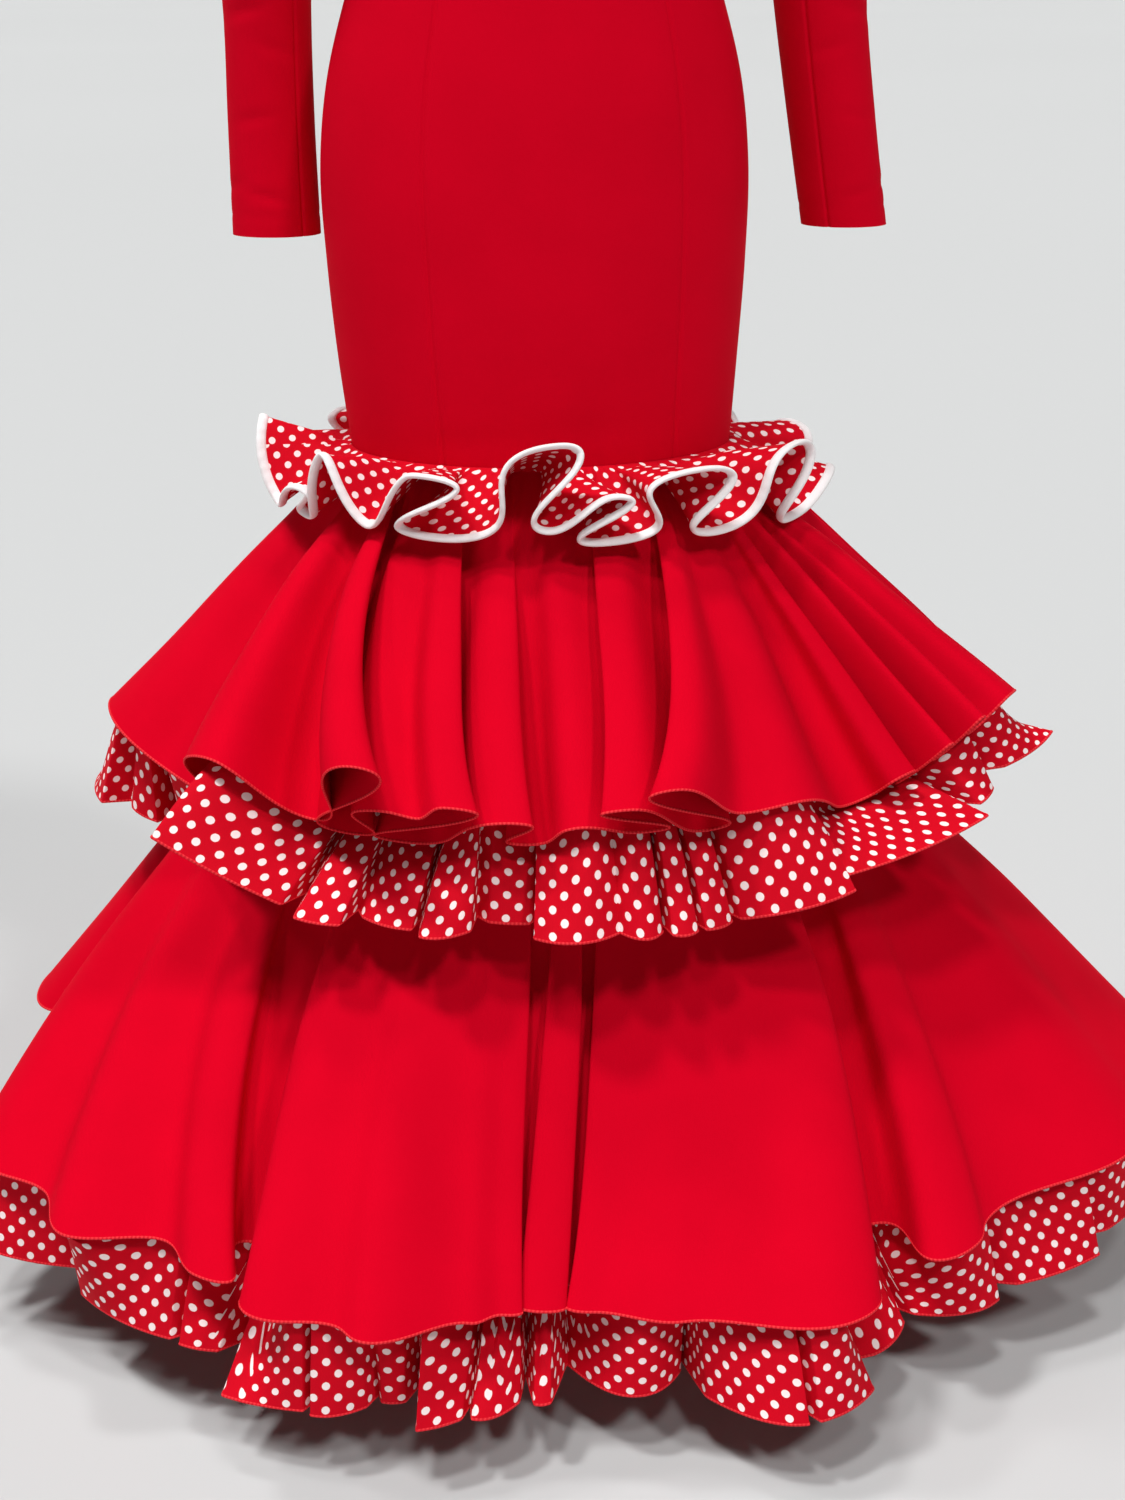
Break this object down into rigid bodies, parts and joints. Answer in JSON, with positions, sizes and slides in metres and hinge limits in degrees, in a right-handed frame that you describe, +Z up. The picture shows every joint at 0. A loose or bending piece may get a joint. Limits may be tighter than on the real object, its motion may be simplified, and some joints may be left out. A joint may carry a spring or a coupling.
{
  "type": "flamenco dress",
  "caption": "Long-sleeved red flamenco dress: fitted panelled sheath, bound dotted hip ruffle and gathered flounces with dotted under-ruffles",
  "frame": {"origin": "middle of the shoulder line, between the two shoulder seams, where the dress hangs on a wearer or dress form", "axes": "+Z up the dress, front towards -Y, +X towards the side that is on the right seen from the front"},
  "size_m": [1.0562, 1.0606, 1.5117],
  "materials": {
    "red_crepe": "matte crepe",
    "dotted_crepe": "matte crepe printed with white dots",
    "white_binding": "matte, padded binding",
    "zip_metal": "red enamel"
  },
  "bodies": {
    "dress": {"front_centre": "red_crepe", "front_side_left": "red_crepe", "front_side_right": "red_crepe", "back_left": "red_crepe", "back_right": "red_crepe", "back_side_left": "red_crepe", "back_side_right": "red_crepe", "sleeve_upper_left": "red_crepe", "sleeve_under_left": "red_crepe", "sleeve_upper_right": "red_crepe", "sleeve_under_right": "red_crepe", "base_skirt_front": "red_crepe", "base_skirt_back": "red_crepe", "flounce_upper_front": "red_crepe", "flounce_upper_back": "red_crepe", "dot_ruffle_upper_front": "dotted_crepe", "dot_ruffle_upper_back": "dotted_crepe", "flounce_lower_front": "red_crepe", "flounce_lower_back": "red_crepe", "dot_ruffle_lower_front": "dotted_crepe", "dot_ruffle_lower_back": "dotted_crepe", "bound_ruffle_front": "dotted_crepe", "bound_ruffle_back": "dotted_crepe", "binding_front": "white_binding", "binding_back": "white_binding", "zip_slider": "zip_metal"},
    "pull_tab": {"zip_pull": "zip_metal"}
  },
  "joints": [
    {"name": "pull_hinge", "type": "hinge", "parent": "dress", "child": "pull_tab", "pos_m": [0, 0.0623, -0.00473], "axis": [1, 0, 0], "range_deg": [0, 150]}
  ]
}
